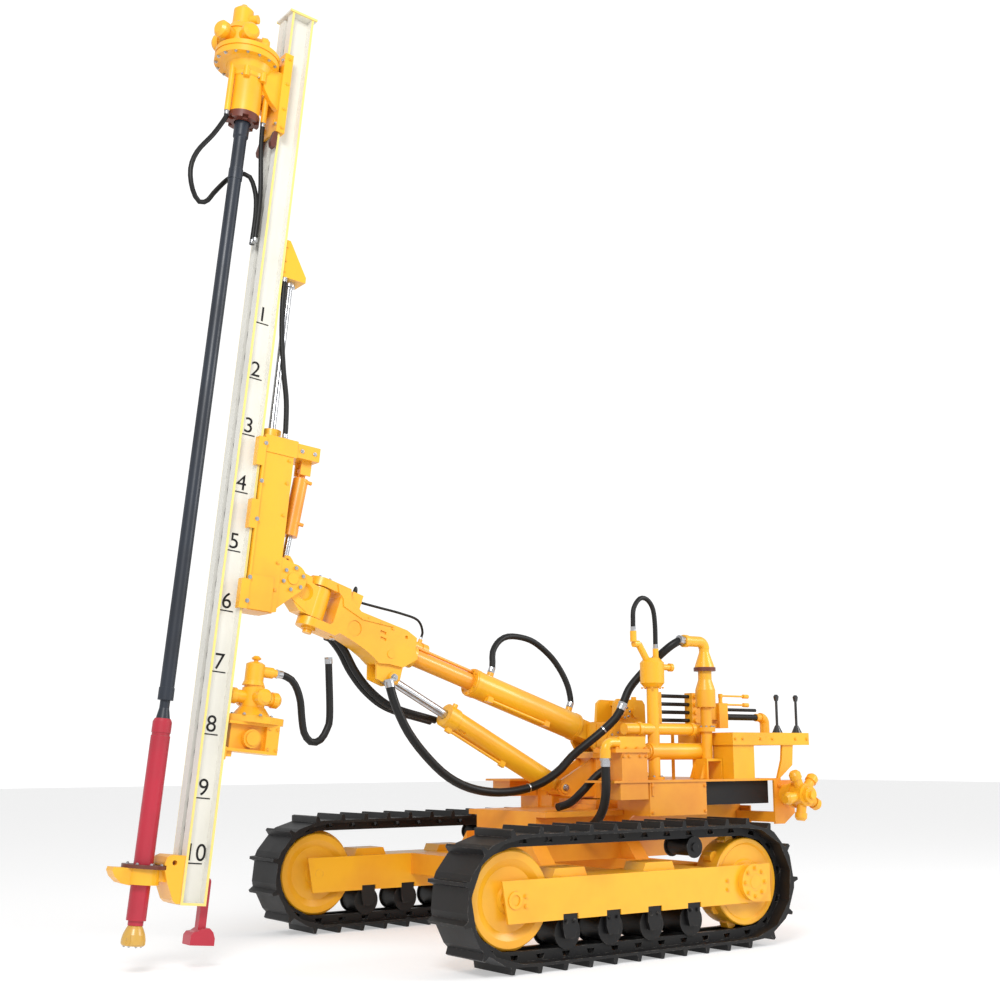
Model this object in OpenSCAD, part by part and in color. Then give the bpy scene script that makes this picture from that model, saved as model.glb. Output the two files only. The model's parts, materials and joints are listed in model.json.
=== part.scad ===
// Crawler drilling rig: a tracked carrier with a telescopic boom and a leaning mast.
// Millimetres. X is forward, Y is to the left, Z is up and Z = 0 is the ground.

/* [Undercarriage] */
// Height of the idler and sprocket centres above the ground
wheel_z = 330; // [320:2:345]
// Distance from idler centre to sprocket centre
wheelbase = 1556; // [1500:4:1640]
// Distance between the middles of the two tracks
gauge = 1880; // [1840:10:1960]
// Width of one track shoe
shoe_w = 300; // [280:10:320]
// Number of shoes on one track
shoe_count = 31; // [29:1:33]
// Radius of the idler and sprocket discs
disc_r = 225; // [215:1:230]
// Depth of the yellow side beam of a track frame
beam_h = 195; // [180:5:210]

/* [Boom] */
// Height of the pin that the boom lifts on
boom_pin_z = 1077; // [1070:1:1090]
// Angle of the boom above level as parked
boom_angle = 18; // [16:0.5:20]
// Outer diameter of the boom's outer tube
outer_d = 155; // [150:1:160]
// Diameter of the boom's inner tube
inner_d = 92; // [88:1:94]
// Distance along the boom from its pin to the front of the outer tube
outer_len = 1036; // [1000:4:1060]

/* [Mast] */
// Lean of the mast to the rear as parked, in degrees
mast_lean = 5.6; // [4:0.1:7]
// Length of the mast
mast_len = 4750; // [4600:10:4900]
// Depth of the mast from front to rear
mast_depth = 130; // [120:2:140]
// Width of the mast
mast_w = 160; // [150:2:170]
// Distance from the mast's reference line to the drill string's axis
drill_x = 205; // [195:1:215]

/* [Drill string] */
// Diameter of the drill rod
rod_d = 70; // [60:1:76]
// Diameter of the down-the-hole hammer
hammer_d = 92; // [86:1:94]
// Diameter of the bit's head
bit_d = 112; // [100:1:115]

/* [Hidden] */
$fn = 48;

yellow = "#f2b01e";
dark_yellow = "#e0901c";
black = "#1c1c1e";
white = "#f2f1ec";
steel = "#b9bcc0";
crimson = "#b3202f";
brown = "#6b2d1c";
ochre = "#c99a3a";
slate = "#2b3340";

// Places along the machine: every x below counts from the idler's centre
idler_x = 509;
function at_x(x) = idler_x + x;

// Chain: pins run on a loop that passes round both wheels
pin_r = 262;
tip_h = wheel_z - pin_r;
loop_len = 2 * wheelbase + 2 * PI * pin_r;
pitch = loop_len / shoe_count;
link_top = 26;
link_foot = -25;
plate_low = 22;
plate_high = 36;
rail_y = 62;
rail_w = 30;
track_y = gauge / 2;

// Side beam
beam_mid = 322;
beam_top = beam_mid + beam_h / 2;
beam_low = beam_mid - beam_h / 2;
beam_front = 75;
beam_rear = -1700;
beam_y = 111;
beam_t = 12;
roller_r = 68;
roller_xs = [-330, -600, -870, -1140];
notch_w = 92;
notch_h = 26;
carrier_x = -1180;
carrier_r = 45;
hub_r = 95;

// Central frame
frame_front = -720;
frame_rear = -2300;
frame_low = 420;
frame_high = 690;
frame_w = 560;
beam_xs = [-780, -1450];
beam_reach = track_y - beam_y - beam_t / 2;
motor_x = -2345;
motor_y = 690;
motor_z = 760;
tow_eye_x = -2400;
tow_eye_z = 520;

// Turret on its kingpin, with the fork that holds the boom
king_x = -1400;
king_r = 45;
column_w = 190;
column_low = 746;
column_high = 1005;
plate_top = 740;
boom_pin_x = -1460;
lift_base = [-1090, 810];
fork_y = 80;
fork_t = 22;

// Deck
deck_z = 842;
deck_t = 12;
deck_top = deck_z + deck_t;
deck_front = -1010;
deck_rear = -2310;
deck_y = 600;
slot_y = 350;
slot_rear = -1640;
tray_front = -1910;
tray_rear = -2560;
tray_low = 1048;
tray_high = 1120;

// Pipework on the deck
pipe_y = 400;
pipe_1_x = -1484;
pipe_2 = [-1857, 450];
bank_y = 300;
valve_zs = [1193, 1240, 1287, 1334];

// Boom head and its swing pin, in the boom's own line: [along, above]
head_rear = 1490;
lift_eye = [1545, -160];
swing_u = 2085;
swing_v = 55;
mast_swing_arm_y = -165;
mast_swing_v = 100;
boom_swing_arm_y = -225;
boom_swing_z = 776;
bar_v = 58;

// Mast's reference point at its foot, and places in the mast's own frame: [forward, up]
mast_foot = [1200, 294];
mast_front = 30;
mast_back = mast_front - mast_depth;
dump_pin = [-360, 1635];
dump_eye_rest = [-337, 1733];
dump_top = [-384, 2225];
ext_x = -180;
ext_z = 1500;
ext_top = 2400;
bar_z = 2270;
chain_x = -30;
chain_half = 40;
carriage_z = 4010;
carriage_h = 470;
carriage_front = 50;

// Hoses: radius, then the route's points [x from the idler, y, z]
down_hose_r = 25;
down_hose_route = [
    [-975, 570, 975], [-975, 570, 900], [-975, 570, 810], [-977, 545, 715],
    [-982, 480, 640], [-988, 385, 592], [-990, 330, 590], [-990, 280, 590]
];
pipe_hose_r = 14;
pipe_hose_route = [
    [-1345, 400, 1695], [-1345, 400, 1740], [-1352, 400, 1825], [-1400, 400, 1885], [-1455, 400, 1885],
    [-1500, 400, 1835], [-1515, 400, 1740], [-1515, 400, 1600]
];
air_hose_r = 24;
air_hose_rear_route = [
    [-1690, 450, 1650], [-1662, 450, 1650], [-1610, 420, 1615], [-1555, 340, 1535],
    [-1490, 280, 1445], [-1430, 258, 1370], [-1390, 250, 1290]
];
air_hose_route = [
    [-1450, 135, 1262], [-1420, 135, 1262], [-1280, 130, 1162], [-1104, 125, 989], [-1000, 122, 900],
    [-860, 116, 830], [-700, 111, 797], [-540, 107, 795], [-380, 106, 826], [-240, 105, 893],
    [-110, 105, 1000], [-10, 105, 1110]
];
// In the boom's own line: [along, y, above]
loop_port_us = [885, 285];
loop_hose_r = 18;
loop_hose_route = [
    [885, -45, 110], [885, -45, 150], [893, -68, 240], [853, -83, 325], [780, -85, 375], [640, -85, 400],
    [500, -85, 370], [400, -78, 315], [325, -60, 235], [285, -45, 150], [285, -45, 110]
];
under_hose_r = 20;
under_hose_route = [
    [1900, -105, -40], [1870, -105, -40], [1790, -105, -85], [1690, -105, -168], [1560, -105, -238],
    [1400, -105, -272], [1122, -105, -250]
];
// In the mast's own frame: [forward, y, up]
feed_hose_r = 19;
feed_hose_route = [
    [-365, 0, 1151], [-395, 0, 1151], [-465, 0, 1125], [-515, 0, 1045], [-540, 0, 940],
    [-563, 0, 870], [-606, 0, 832], [-655, 0, 845], [-688, 0, 900], [-698, 0, 980], [-655, 0, 1275]
];
head_hose_r = 13;
head_hose_route = [
    [308, 20, 4060], [308, 20, 4025], [365, 26, 3900], [440, 28, 3770], [463, 26, 3667], [440, 20, 3570],
    [390, 5, 3512], [335, -18, 3540], [280, -58, 3630], [195, -82, 3750], [115, -50, 3780], [75, -15, 3680],
    [60, -8, 3560], [60, -8, 3380]
];
head_hose_2_route = [
    [100, 30, 4060], [100, 30, 4020], [95, 30, 3930], [80, 30, 3800], [66, 28, 3690], [60, 28, 3580], [60, 28, 3380]
];

function along(a, b) = atan2(b[0] - a[0], b[1] - a[1]);
function dist(a, b) = norm([b[0] - a[0], b[1] - a[1]]);
function turn(p, a) = [p[0] * cos(a) - p[1] * sin(a), p[0] * sin(a) + p[1] * cos(a)];
// From the boom's line, and from the mast's frame, to [x from idler, z]
function from_boom(p) = [boom_pin_x, boom_pin_z] + turn(p, boom_angle);
function from_mast(p) = mast_foot + turn(p, mast_lean);

module profile(w) rotate([90, 0, 0]) linear_extrude(w, center = true) children();
module rod_y(r, w) rotate([90, 0, 0]) cylinder(r = r, h = w, center = true);
module rod_x(r, l) rotate([0, 90, 0]) cylinder(r = r, h = l);
module both_sides() {
    children();
    mirror([0, 1, 0]) children();
}
module in_boom() translate([at_x(boom_pin_x), 0, boom_pin_z]) rotate([0, -boom_angle, 0]) children();
module in_mast() translate([at_x(mast_foot[0]), 0, mast_foot[1]]) rotate([0, -mast_lean, 0]) children();
// A cylinder's own frame: Z runs from point a to point b, both [x from idler, z]
module in_line(a, b) translate([at_x(a[0]), 0, a[1]]) rotate([0, along(a, b), 0]) children();

// Point on the loop through the chain pins, t from the top of the idler to the rear
function loop_point(t) =
    t < wheelbase ? [-t, pin_r]
    : t < wheelbase + PI * pin_r ? arc_point(-wheelbase, 90 + (t - wheelbase) / pin_r * 180 / PI)
    : t < 2 * wheelbase + PI * pin_r ? [-wheelbase + (t - wheelbase - PI * pin_r), -pin_r]
    : arc_point(0, 270 + (t - 2 * wheelbase - PI * pin_r) / pin_r * 180 / PI);
function arc_point(cx, a) = [cx + pin_r * cos(a), pin_r * sin(a)];
// Points of link i: each [part of the pitch, height above the pins]
function link_points(i, shape) =
    let (a = loop_point(i * pitch), b = loop_point((i + 1) % shoe_count * pitch))
    let (d = (b - a) / norm(b - a), n = [d[1], -d[0]])
    [for (s = shape) a + d * s[0] * norm(b - a) + n * s[1]];
function loop_outline(shape) = [for (i = [0:shoe_count - 1]) each link_points(i, shape)];

shoe_shape = [[0.03, plate_high], [0.76, plate_high], [0.82, tip_h], [0.92, tip_h], [0.96, plate_high]];
window_shape = [[0.34, -8], [0.66, -8], [0.60, 14], [0.40, 14]];

module loop_band(outer, inner, w, windows = []) {
    outer_pts = loop_outline(outer);
    inner_pts = loop_outline(inner);
    profile(w) difference() {
        polygon(outer_pts);
        polygon(inner_pts);
        if (len(windows) > 0) for (i = [0:shoe_count - 1]) polygon(link_points(i, windows));
    }
}

module track() color(black) translate([at_x(0), 0, wheel_z]) {
    loop_band(shoe_shape, [[0.5, plate_low]], shoe_w);
    for (y = [-rail_y, rail_y])
        translate([0, y, 0])
            loop_band([[0.5, link_top]], [[0.06, link_foot], [0.94, link_foot]], rail_w, window_shape);
}

// Box from corner a to corner b
module block(a, b) translate(a) cube(b - a);
// Ring whose axis is Z
module ring(r, hole, h) difference() {
    cylinder(r = r, h = h);
    translate([0, 0, -1]) cylinder(r = hole, h = h + 2);
}
// Tube swept along a route: one ring of eight sides at each of its points
sides = 8;
function ring_points(p, ahead, r, side) =
    let (across = cross(ahead, side), a = across / norm(across), b = cross(ahead, a) / norm(ahead))
    [for (k = [0:sides - 1]) p + r * (cos(k * 360 / sides) * a + sin(k * 360 / sides) * b)];
module tube(route, r, side = [0, 1, 0]) {
    last = len(route) - 1;
    points = [for (i = [0:last])
        each ring_points(route[i], route[min(i + 1, last)] - route[max(i - 1, 0)], r, side)];
    first_cap = [for (k = [0:sides - 1]) k];
    last_cap = [for (k = [sides - 1:-1:0]) last * sides + k];
    walls = [for (i = [0:last - 1], k = [0:sides - 1]) each let (n = (k + 1) % sides) [
        [i * sides + k, (i + 1) * sides + k, (i + 1) * sides + n],
        [i * sides + k, (i + 1) * sides + n, i * sides + n]
    ]];
    polyhedron(points, concat([first_cap], walls, [last_cap]), convexity = 6);
}

module track_left() translate([0, track_y, 0]) track();
module track_right() translate([0, -track_y, 0]) track();

module beam_outline() difference() {
    polygon([[beam_front, beam_top], [beam_front - 35, beam_low], [beam_rear, beam_low], [beam_rear, beam_top]]);
    for (x = roller_xs) translate([x, beam_low]) square([notch_w, 2 * notch_h], center = true);
}
module track_frame() color(yellow) translate([at_x(0), 0, 0]) difference() {
    union() {
        for (y = [-beam_y, beam_y]) translate([0, y, 0]) profile(beam_t) beam_outline();
        translate([-1240, -beam_y, beam_top - 14]) cube([940, 2 * beam_y, 14]);
        for (x = [-300, -760, -1240]) translate([x - 6, -beam_y, beam_mid - 40]) cube([12, 2 * beam_y, 130]);
        for (x = [-470, -1050])
            translate([x, 0, beam_top - 6]) profile(150) polygon([[0, 0], [20, 45], [200, 45], [220, 0]]);
        translate([-wheelbase, 0, wheel_z]) both_sides() translate([0, 115, 0]) rod_y(hub_r, 62);
        translate([0, beam_y, wheel_z]) rod_y(40, 24);
    }
    translate([0, 0, wheel_z]) rod_y(25, 400);
    translate([-wheelbase, 0, wheel_z]) rod_y(45, 400);
}
module track_frame_left() translate([0, track_y, 0]) track_frame();
module track_frame_right() mirror([0, 1, 0]) track_frame_left();

module idler() color(yellow) rotate([90, 0, 0]) {
    difference() {
        rotate_extrude() polygon([
            [0, -82], [60, -82], [70, -66], [150, -60], [186, -76], [disc_r - 6, -80], [disc_r, -74],
            [disc_r, -42], [disc_r + 18, -36], [disc_r + 18, 36], [disc_r, 42], [disc_r, 74],
            [disc_r - 6, 80], [186, 76], [150, 60], [70, 66], [60, 82], [0, 82]
        ]);
        cylinder(r = 25, h = 200, center = true);
    }
    cylinder(r = 24.7, h = 234, center = true);
}
module idlers() both_sides() translate([at_x(0), track_y, wheel_z]) idler();

tooth_count = 10;
module sprocket() color(yellow) rotate([90, 0, 0]) {
    rotate_extrude() polygon([
        [0, -79], [110, -79], [118, -70], [190, -70], [200, -79], [disc_r - 5, -79], [disc_r, -74],
        [disc_r, 74], [disc_r - 5, 79], [200, 79], [190, 70], [118, 70], [110, 79], [0, 79]
    ]);
    for (i = [0:tooth_count - 1]) rotate(i * 360 / tooth_count) linear_extrude(56, center = true)
        polygon([[150, -42], [disc_r + 8, -30], [252, -12], [252, 12], [disc_r + 8, 30], [150, 42]]);
    cylinder(r = 44.7, h = 292, center = true);
}
module sprockets() both_sides() translate([at_x(-wheelbase), track_y, wheel_z]) sprocket();

roller_z = wheel_z - pin_r - link_foot + roller_r + 0.5;
carrier_z = wheel_z + pin_r + link_foot - carrier_r - 0.5;
module roller(r) rotate([90, 0, 0]) {
    rotate_extrude() polygon([
        [0, -88], [r + 10, -88], [r + 10, -80], [r, -79], [r, 79], [r + 10, 80], [r + 10, 88], [0, 88]
    ]);
    cylinder(r = 22, h = 192, center = true);
}
// A roller's bracket fills the notch in the side beam
module roller_bracket() profile(16) polygon([
    [-30, -26], [30, -26], [notch_w / 2 - 2, 20], [notch_w / 2 - 2, beam_low + notch_h - 2 - roller_z],
    [2 - notch_w / 2, beam_low + notch_h - 2 - roller_z], [2 - notch_w / 2, 20]
]);
module rollers() color(black) both_sides() translate([0, track_y, 0]) {
    for (x = roller_xs) translate([at_x(x), 0, roller_z]) {
        roller(roller_r);
        both_sides() translate([0, 103, 0]) roller_bracket();
    }
    translate([at_x(carrier_x), 0, carrier_z]) roller(carrier_r);
}

// A radial piston air motor: crankcase and capped cylinders round it; Z is its shaft
module piston_motor(r, h, reach, lobes, start = 0) {
    cylinder(r = r, h = h);
    for (i = [0:lobes - 1]) translate([0, 0, h / 2]) rotate([0, 90, start + i * 360 / lobes]) {
        cylinder(r = h * 0.34, h = reach - 30);
        translate([0, 0, reach - 45]) cylinder(r = h * 0.42, h = 30);
        translate([0, 0, reach - 15]) cylinder(r1 = h * 0.42, r2 = h * 0.28, h = 15);
    }
}

module traction_motors() color(yellow) both_sides() translate([at_x(motor_x), motor_y, motor_z]) rotate([-90, 0, 0]) {
    piston_motor(66, 84, 150, 5, 9);
    translate([0, 0, 84]) cylinder(r = 46, h = 26);
    translate([0, 0, 110]) cylinder(r = 24, h = 20);
    translate([0, 0, -20]) cylinder(r = 78, h = 20);
    translate([0, 0, -89]) cylinder(r = 60, h = 69);
}
module motor_brackets() color(dark_yellow) both_sides() {
    translate([at_x(0), 594, 0]) profile(12)
        polygon([[-2420, 740], [-2400, 842], [-2250, 842], [-2250, 590], [-2330, 590], [-2420, 650]]);
    block([at_x(-2300), frame_w / 2, 600], [at_x(-2250), 588, 660]);
    block([at_x(-2300), frame_w / 2, 560], [at_x(-2290), 360, 690]);
}

module chassis_frame() color(dark_yellow) {
    difference() {
        block([at_x(frame_rear), -frame_w / 2, frame_low], [at_x(frame_front), frame_w / 2, frame_high]);
        translate([at_x(frame_rear) - 1, 20 - frame_w / 2, frame_low + 20])
            cube([20, frame_w - 40, frame_high - frame_low - 40]);
    }
    difference() {
        hull() {
            translate([at_x(tow_eye_x), 0, tow_eye_z]) cylinder(r = 42, h = 30);
            translate([at_x(frame_rear), -60, tow_eye_z]) cube([30, 120, 30]);
        }
        translate([at_x(tow_eye_x), 0, tow_eye_z - 5]) cylinder(r = 20, h = 40);
    }
    both_sides() block([at_x(-1278), frame_w / 2, 660], [at_x(-720), 360, 689]);
    translate([at_x(boom_swing_base[0]), boom_swing_base[1], frame_high]) {
        translate([-34, -35, 0]) cube([60, 70, 50]);
        cylinder(r = 27, h = boom_swing_z - 30 - frame_high);
    }
}

// Bolted seat of the turret, with the kingpin
module pedestal() color(dark_yellow) {
    block([at_x(-1620), -190, frame_high], [at_x(-1220), 190, 715]);
    block([at_x(-1600), -170, 715], [at_x(-1240), 170, plate_top]);
    translate([at_x(king_x), 0, plate_top]) cylinder(r = king_r, h = 1002 - plate_top);
}

module cross_beams() color(dark_yellow) for (x = beam_xs) {
    block([at_x(x), -beam_reach, 300], [at_x(x + 160), beam_reach, frame_low]);
    both_sides() translate([at_x(x + 30), 0, 0]) rotate([90, 0, 90]) linear_extrude(100)
        polygon([[frame_w / 2, frame_low], [frame_w / 2 + 130, frame_low], [frame_w / 2, frame_low + 150]]);
}

// Boxes that hang under the deck's edges: [rear, front, low], as x from the idler and z
side_boxes = [[-1703, -1272, 660], [-1262, -1060, 752]];
module deck() color(dark_yellow) {
    difference() {
        block([at_x(deck_rear), -deck_y, deck_z], [at_x(deck_front), deck_y, deck_top]);
        block([at_x(slot_rear), -slot_y, deck_z - 1], [at_x(deck_front) + 1, slot_y, deck_top + 1]);
    }
    both_sides() {
        block([at_x(-2290), 268, frame_high], [at_x(-1660), 280, deck_z]);
        for (b = side_boxes) block([at_x(b[0]), 420, b[2]], [at_x(b[1]), 592, deck_z]);
        translate([at_x(-1300), 0, 0]) rotate([90, 0, 90]) linear_extrude(14)
            polygon([[280, 560], [598, 770], [598, deck_z], [302, deck_z], [302, frame_high], [280, frame_high]]);
    }
    block([at_x(-1255), 440, deck_top], [at_x(-1068), 598, 1005]);
    block([at_x(-1261), 420, 1005], [at_x(-1016), 610, 1025]);
}

module console() color(yellow) {
    difference() {
        block([at_x(tray_rear), 150, tray_low], [at_x(tray_front), 610, tray_high]);
        block([at_x(tray_rear) + 14, 164, tray_low - 1], [at_x(tray_front) - 14, 596, tray_high - 14]);
    }
    difference() {
        block([at_x(-2097), 430, deck_top], [at_x(-1924), 596, tray_high - 14]);
        block([at_x(-2085), 429, deck_top + 20], [at_x(-1936), 560, tray_low - 20]);
    }
    translate([at_x(0), 588, 0]) profile(16)
        polygon([[-2437, tray_high - 14], [-2347, tray_high - 14], [-2330, 960], [-2290, deck_top], [-2310, deck_top], [-2420, 930]]);
    block([at_x(-2300), 164, deck_top], [at_x(-2284), 300, tray_high - 14]);
}

module levers() color(black) for (x = [-2340, -2510]) translate([at_x(x), 560, tray_high]) {
    cylinder(r1 = 32, r2 = 12, h = 45);
    cylinder(r = 8, h = 190);
    translate([0, 0, 190]) cylinder(r1 = 12, r2 = 17, h = 26);
    translate([0, 0, 216]) cylinder(r1 = 17, r2 = 9, h = 12);
}

module elbow(r, bend) {
    rotate_extrude(angle = 90) translate([bend, 0]) circle(r = r);
}
module air_pipes() color(yellow) translate([at_x(0), 0, 0]) {
    // Main pipe and the receiver below it
    translate([-1850, pipe_y, 1138]) rod_x(33, 590);
    for (x = [-1790, -1380]) translate([x, pipe_y, 1138]) rod_x(40, 24);
    difference() {
        translate([-1870, pipe_y, 1012]) rod_x(48, 430);
        translate([pipe_2[0], pipe_2[1], 960]) cylinder(r = 32.9, h = 120);
    }
    translate([-1445, pipe_y, 1012]) rod_x(40, 18);
    // Upright pipe with its valve head, a handle and a bent outlet
    translate([pipe_1_x, pipe_y, 0]) {
        translate([0, 0, deck_top]) cylinder(r = 58, h = 14);
        translate([0, 0, deck_top]) cylinder(r = 35, h = 530);
        translate([0, 0, 1376]) cylinder(r1 = 48, r2 = 70, h = 24);
        translate([0, 0, 1400]) cylinder(r = 70, h = 118);
        translate([0, 0, 1518]) cylinder(r1 = 70, r2 = 44, h = 27);
        translate([-145, 0, 1495]) rod_x(18, 90);
        translate([-155, 0, 1495]) rod_x(24, 22);
        translate([-31, 0, 1530]) cylinder(r = 17, h = 70);
        translate([38, 0, 1530]) rotate([0, 34, 0]) cylinder(r = 20, h = 110);
        translate([139, 0, 1634]) cylinder(r = 19, h = 61);
        translate([101, 0, 1622]) rod_x(20, 38);
    }
    // Second upright pipe on its U bracket, with a head, a reducer and an elbow
    translate([pipe_2[0], pipe_2[1], 0]) {
        block([-62, -60, 955], [62, 60, 970]);
        for (x = [-62, 52]) block([x, -60, deck_top], [x + 10, 60, 955]);
        for (y = [-45, 38]) translate([0, y, 0]) profile(8) polygon([[62, 856], [100, 856], [62, 950]]);
        translate([0, 0, 970]) cylinder(r = 33, h = 300);
        translate([0, 0, 1125]) cylinder(r = 52, h = 26);
        translate([0, 0, 1268]) cylinder(r = 59, h = 100);
        translate([0, 0, 1368]) cylinder(r1 = 59, r2 = 40, h = 60);
        translate([0, 0, 1428]) cylinder(r = 40, h = 50);
        translate([0, 0, 1500]) cylinder(r1 = 60, r2 = 30, h = 90);
        translate([0, 0, 1590]) cylinder(r = 30, h = 20);
        translate([40, 0, 1610]) rotate([90, 0, 180]) elbow(32, 40);
        translate([40, 0, 1650]) rod_x(32, 100);
        translate([140, 0, 1650]) rod_x(37, 27);
    }
    // Front elbow that drops to the frame
    block([-1250, 500, 1025], [-1060, 590, 1092]);
    translate([-1062, 570, 1058]) rod_x(26, 50);
    translate([-1013, 570, 1020]) rotate([90, 0, 0]) elbow(26, 38);
    translate([-975, 570, 975]) cylinder(r = 30, h = 46);
}
module clamp_ring() color(brown) translate([at_x(pipe_2[0]), pipe_2[1], 1478]) cylinder(r = 65, h = 22);

module valve_bank() color(yellow) translate([at_x(0), 0, 0]) {
    block([-2150, bank_y - 20, 1150], [-1590, bank_y + 20, 1176]);
    for (x = [-1720, -1900]) block([x, bank_y + 6, deck_top], [x + 14, bank_y + 20, 1150]);
    block([-1940, bank_y - 32, 1176], [-1860, bank_y + 32, 1356]);
    block([-1620, bank_y - 26, 1176], [-1592, bank_y + 26, 1356]);
    block([-2150, bank_y - 40, 1150], [-2078, bank_y + 40, 1300]);
    block([-2080, bank_y - 20, 1200], [-1938, bank_y + 20, 1290]);
    for (z = valve_zs) {
        translate([-1960, bank_y, z]) rod_x(16, 20);
        translate([-1886, bank_y + 30, z]) rotate([-90, 0, 0]) cylinder(r = 14, h = 16);
    }
    for (z = [1292, 1344]) {
        translate([-2110, bank_y + 20, z]) cylinder(r = 14, h = 24, center = true);
        translate([-2330, bank_y + 20, z]) rod_x(6, 222);
        translate([-2345, bank_y + 20, z]) rod_x(13, 40);
    }
    translate([-2110, bank_y + 20, 1290]) cylinder(r = 12, h = 60);
    translate([-2470, bank_y, 1218]) rod_x(24, 40);
    translate([-2470, bank_y, 1180]) rotate([90, 0, 180]) elbow(30, 38);
    translate([-2508, bank_y, tray_high]) cylinder(r = 30, h = 61);
}

module oil_tank() color(black) {
    block([at_x(-2265), -150, frame_high], [at_x(-1715), 260, deck_z]);
    block([at_x(-2240), 286, frame_high + 20], [at_x(-1722), 560, deck_z]);
}

module turret() color(dark_yellow) translate([at_x(0), 0, 0]) difference() {
    union() {
        block([king_x - column_w / 2, -column_w / 2, column_low], [king_x + column_w / 2, column_w / 2, column_high]);
        block([king_x - 125, -105, column_high - 30], [king_x + 125, 105, column_high]);
        both_sides() translate([0, 62, 0]) profile(20) polygon([
            [king_x, column_low + 10], [lift_base[0] - 60, column_low + 10], [lift_base[0] + 20, lift_base[1] - 44],
            [lift_base[0] + 46, lift_base[1]], [lift_base[0] + 20, lift_base[1] + 44],
            [king_x + 95, column_high - 30], [king_x, column_high - 30]
        ]);
        for (z = [boom_swing_z - 30, boom_swing_z + 18]) {
            block([king_x - 40, boom_swing_arm_y, z], [king_x + 40, -60, z + 12]);
            translate([king_x, boom_swing_arm_y, z]) cylinder(r = 40, h = 12);
        }
        both_sides() translate([lift_base[0], 74, lift_base[1]]) rod_y(34, 14);
        translate([lift_base[0], 0, lift_base[1]]) rod_y(22, 160);
    }
    translate([king_x, 0, column_low - 10]) cylinder(r = king_r + 0.5, h = column_high);
}

// The fork's cheeks: x from the idler, z
cheek = [
    [-1265, 1176], [-1265, 1070], [-1290, 1030], [-1320, 1006], [-1640, 1006], [-1695, 1050], [-1704, 1130],
    [-1700, 1290], [-1680, 1316], [-1490, 1322], [-1462, 1300], [-1452, 1190]
];
module turret_fork() color(yellow) translate([at_x(0), 0, 0]) {
    both_sides() {
        translate([0, fork_y, 0]) profile(fork_t) polygon(cheek);
        translate([boom_pin_x, fork_y + 13, boom_pin_z]) rod_y(66, 14);
        for (x = [-1325, -1520]) translate([x, fork_y + 13, 0]) profile(10)
            polygon([[-14, 1040], [14, 1040], [8, 1170], [-8, 1170]]);
    }
    block([king_x - 125, -102, column_high], [king_x + 125, 102, 1011]);
    block([-1640, -fork_y, column_high + 1], [-1560, fork_y, 1045]);
    block([-1700, -fork_y, 1150], [-1640, fork_y, 1300]);
    block([-1690, -fork_y, 1286], [-1560, fork_y, 1316]);
    translate([boom_pin_x, 0, boom_pin_z]) rod_y(25, 2 * fork_y + 50);
    translate([-1530, fork_y, 1240]) rod_y(40, 60);
    translate([-1620, fork_y, 1240]) rod_y(30, 50);
    block([-1480, fork_y, 1234], [-1450, 165, 1290]);
    for (x = [-1665, -1590]) translate([x, 30, 1316]) cylinder(r = 16, h = 22);
}

boom_swing_base = [-1960, -225, 776];
boom_swing_len = king_x - boom_swing_base[0];
module boom_swing_barrel() color(yellow)
    translate([at_x(boom_swing_base[0]), boom_swing_base[1], boom_swing_base[2]]) difference() {
        union() {
            cylinder(r = 34, h = 60, center = true);
            translate([28, 0, 0]) rod_x(33, 372);
            translate([370, 0, 0]) rotate([0, 90, 0]) cylinder(r = 33.5, h = 30);
        }
        translate([60, 0, 0]) rod_x(17, 400);
    }
module boom_swing_rod() color(steel)
    translate([at_x(boom_swing_base[0]), boom_swing_base[1], boom_swing_base[2]]) {
        translate([180, 0, 0]) rod_x(16, boom_swing_len - 200);
        translate([boom_swing_len, 0, 0]) cylinder(r = 26, h = 34, center = true);
    }

tube_start = 250;
module boom_outer() color(yellow) in_boom() difference() {
    union() {
        translate([tube_start, 0, 0]) rod_x(outer_d / 2, outer_len - tube_start);
        translate([outer_len - 40, 0, 0]) rod_x(outer_d / 2 + 3, 30);
        translate([tube_start, 0, 0]) rod_x(outer_d / 2 + 3, 20);
        rod_y(60, 120);
        block([0, -60, -58], [tube_start + 10, 60, 50]);
        for (u = [480, 900]) block([u, 40, -80], [u + 36, 74, -50]);
        translate([490, 62, -68]) rod_x(9, 430);
        for (u = loop_port_us) translate([u, -45, 30]) cylinder(r = 20, h = 80);
    }
    rod_y(25.5, 300);
    translate([300, 0, 0]) rod_x(70, outer_len - 350);
    translate([300, 0, 0]) rod_x(inner_d / 2 + 1, outer_len);
    translate([300, 0, bar_v]) rod_x(13, outer_len);
}

module boom_inner() color(dark_yellow) in_boom() {
    translate([640, 0, 0]) rod_x(inner_d / 2, head_rear - 640);
    translate([680, 0, bar_v]) rod_x(9, head_rear - 680);
}

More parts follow.
